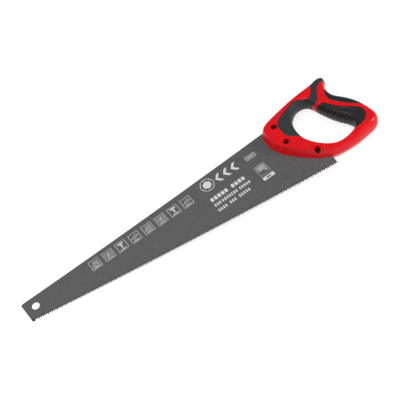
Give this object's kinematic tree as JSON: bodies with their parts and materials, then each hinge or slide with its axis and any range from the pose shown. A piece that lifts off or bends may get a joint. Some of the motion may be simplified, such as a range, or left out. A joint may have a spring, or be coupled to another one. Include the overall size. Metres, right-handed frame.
{
  "type": "hand saw",
  "caption": "Hand saw with a tapered toothed steel blade and a closed plastic handle with soft grip pads, held by three through-screws.",
  "frame": {"origin": "centre of the hanging hole in the blade's toe, in the middle of the blade's thickness", "axes": "+X from the toe to the handle along the line of teeth, +Y from the teeth to the back, +Z normal to the blade"},
  "size_m": [0.6019, 0.1536, 0.028],
  "materials": {
    "blade_steel": "matte grey low-friction coating",
    "red_plastic": "smooth moulded plastic, semi-gloss",
    "soft_grip": "matte soft elastomer",
    "zinc_screw": "zinc-plated"
  },
  "bodies": {
    "root": {"blade": "blade_steel", "handle_core": "red_plastic", "front_soft_pad": "soft_grip", "palm_soft_pad": "soft_grip", "finger_soft_pad": "soft_grip", "screw_front": "zinc_screw", "washer_front": "zinc_screw", "barrel_front": "zinc_screw", "screw_middle": "zinc_screw", "washer_middle": "zinc_screw", "barrel_middle": "zinc_screw", "screw_rear": "zinc_screw", "washer_rear": "zinc_screw", "barrel_rear": "zinc_screw"}
  },
  "joints": []
}
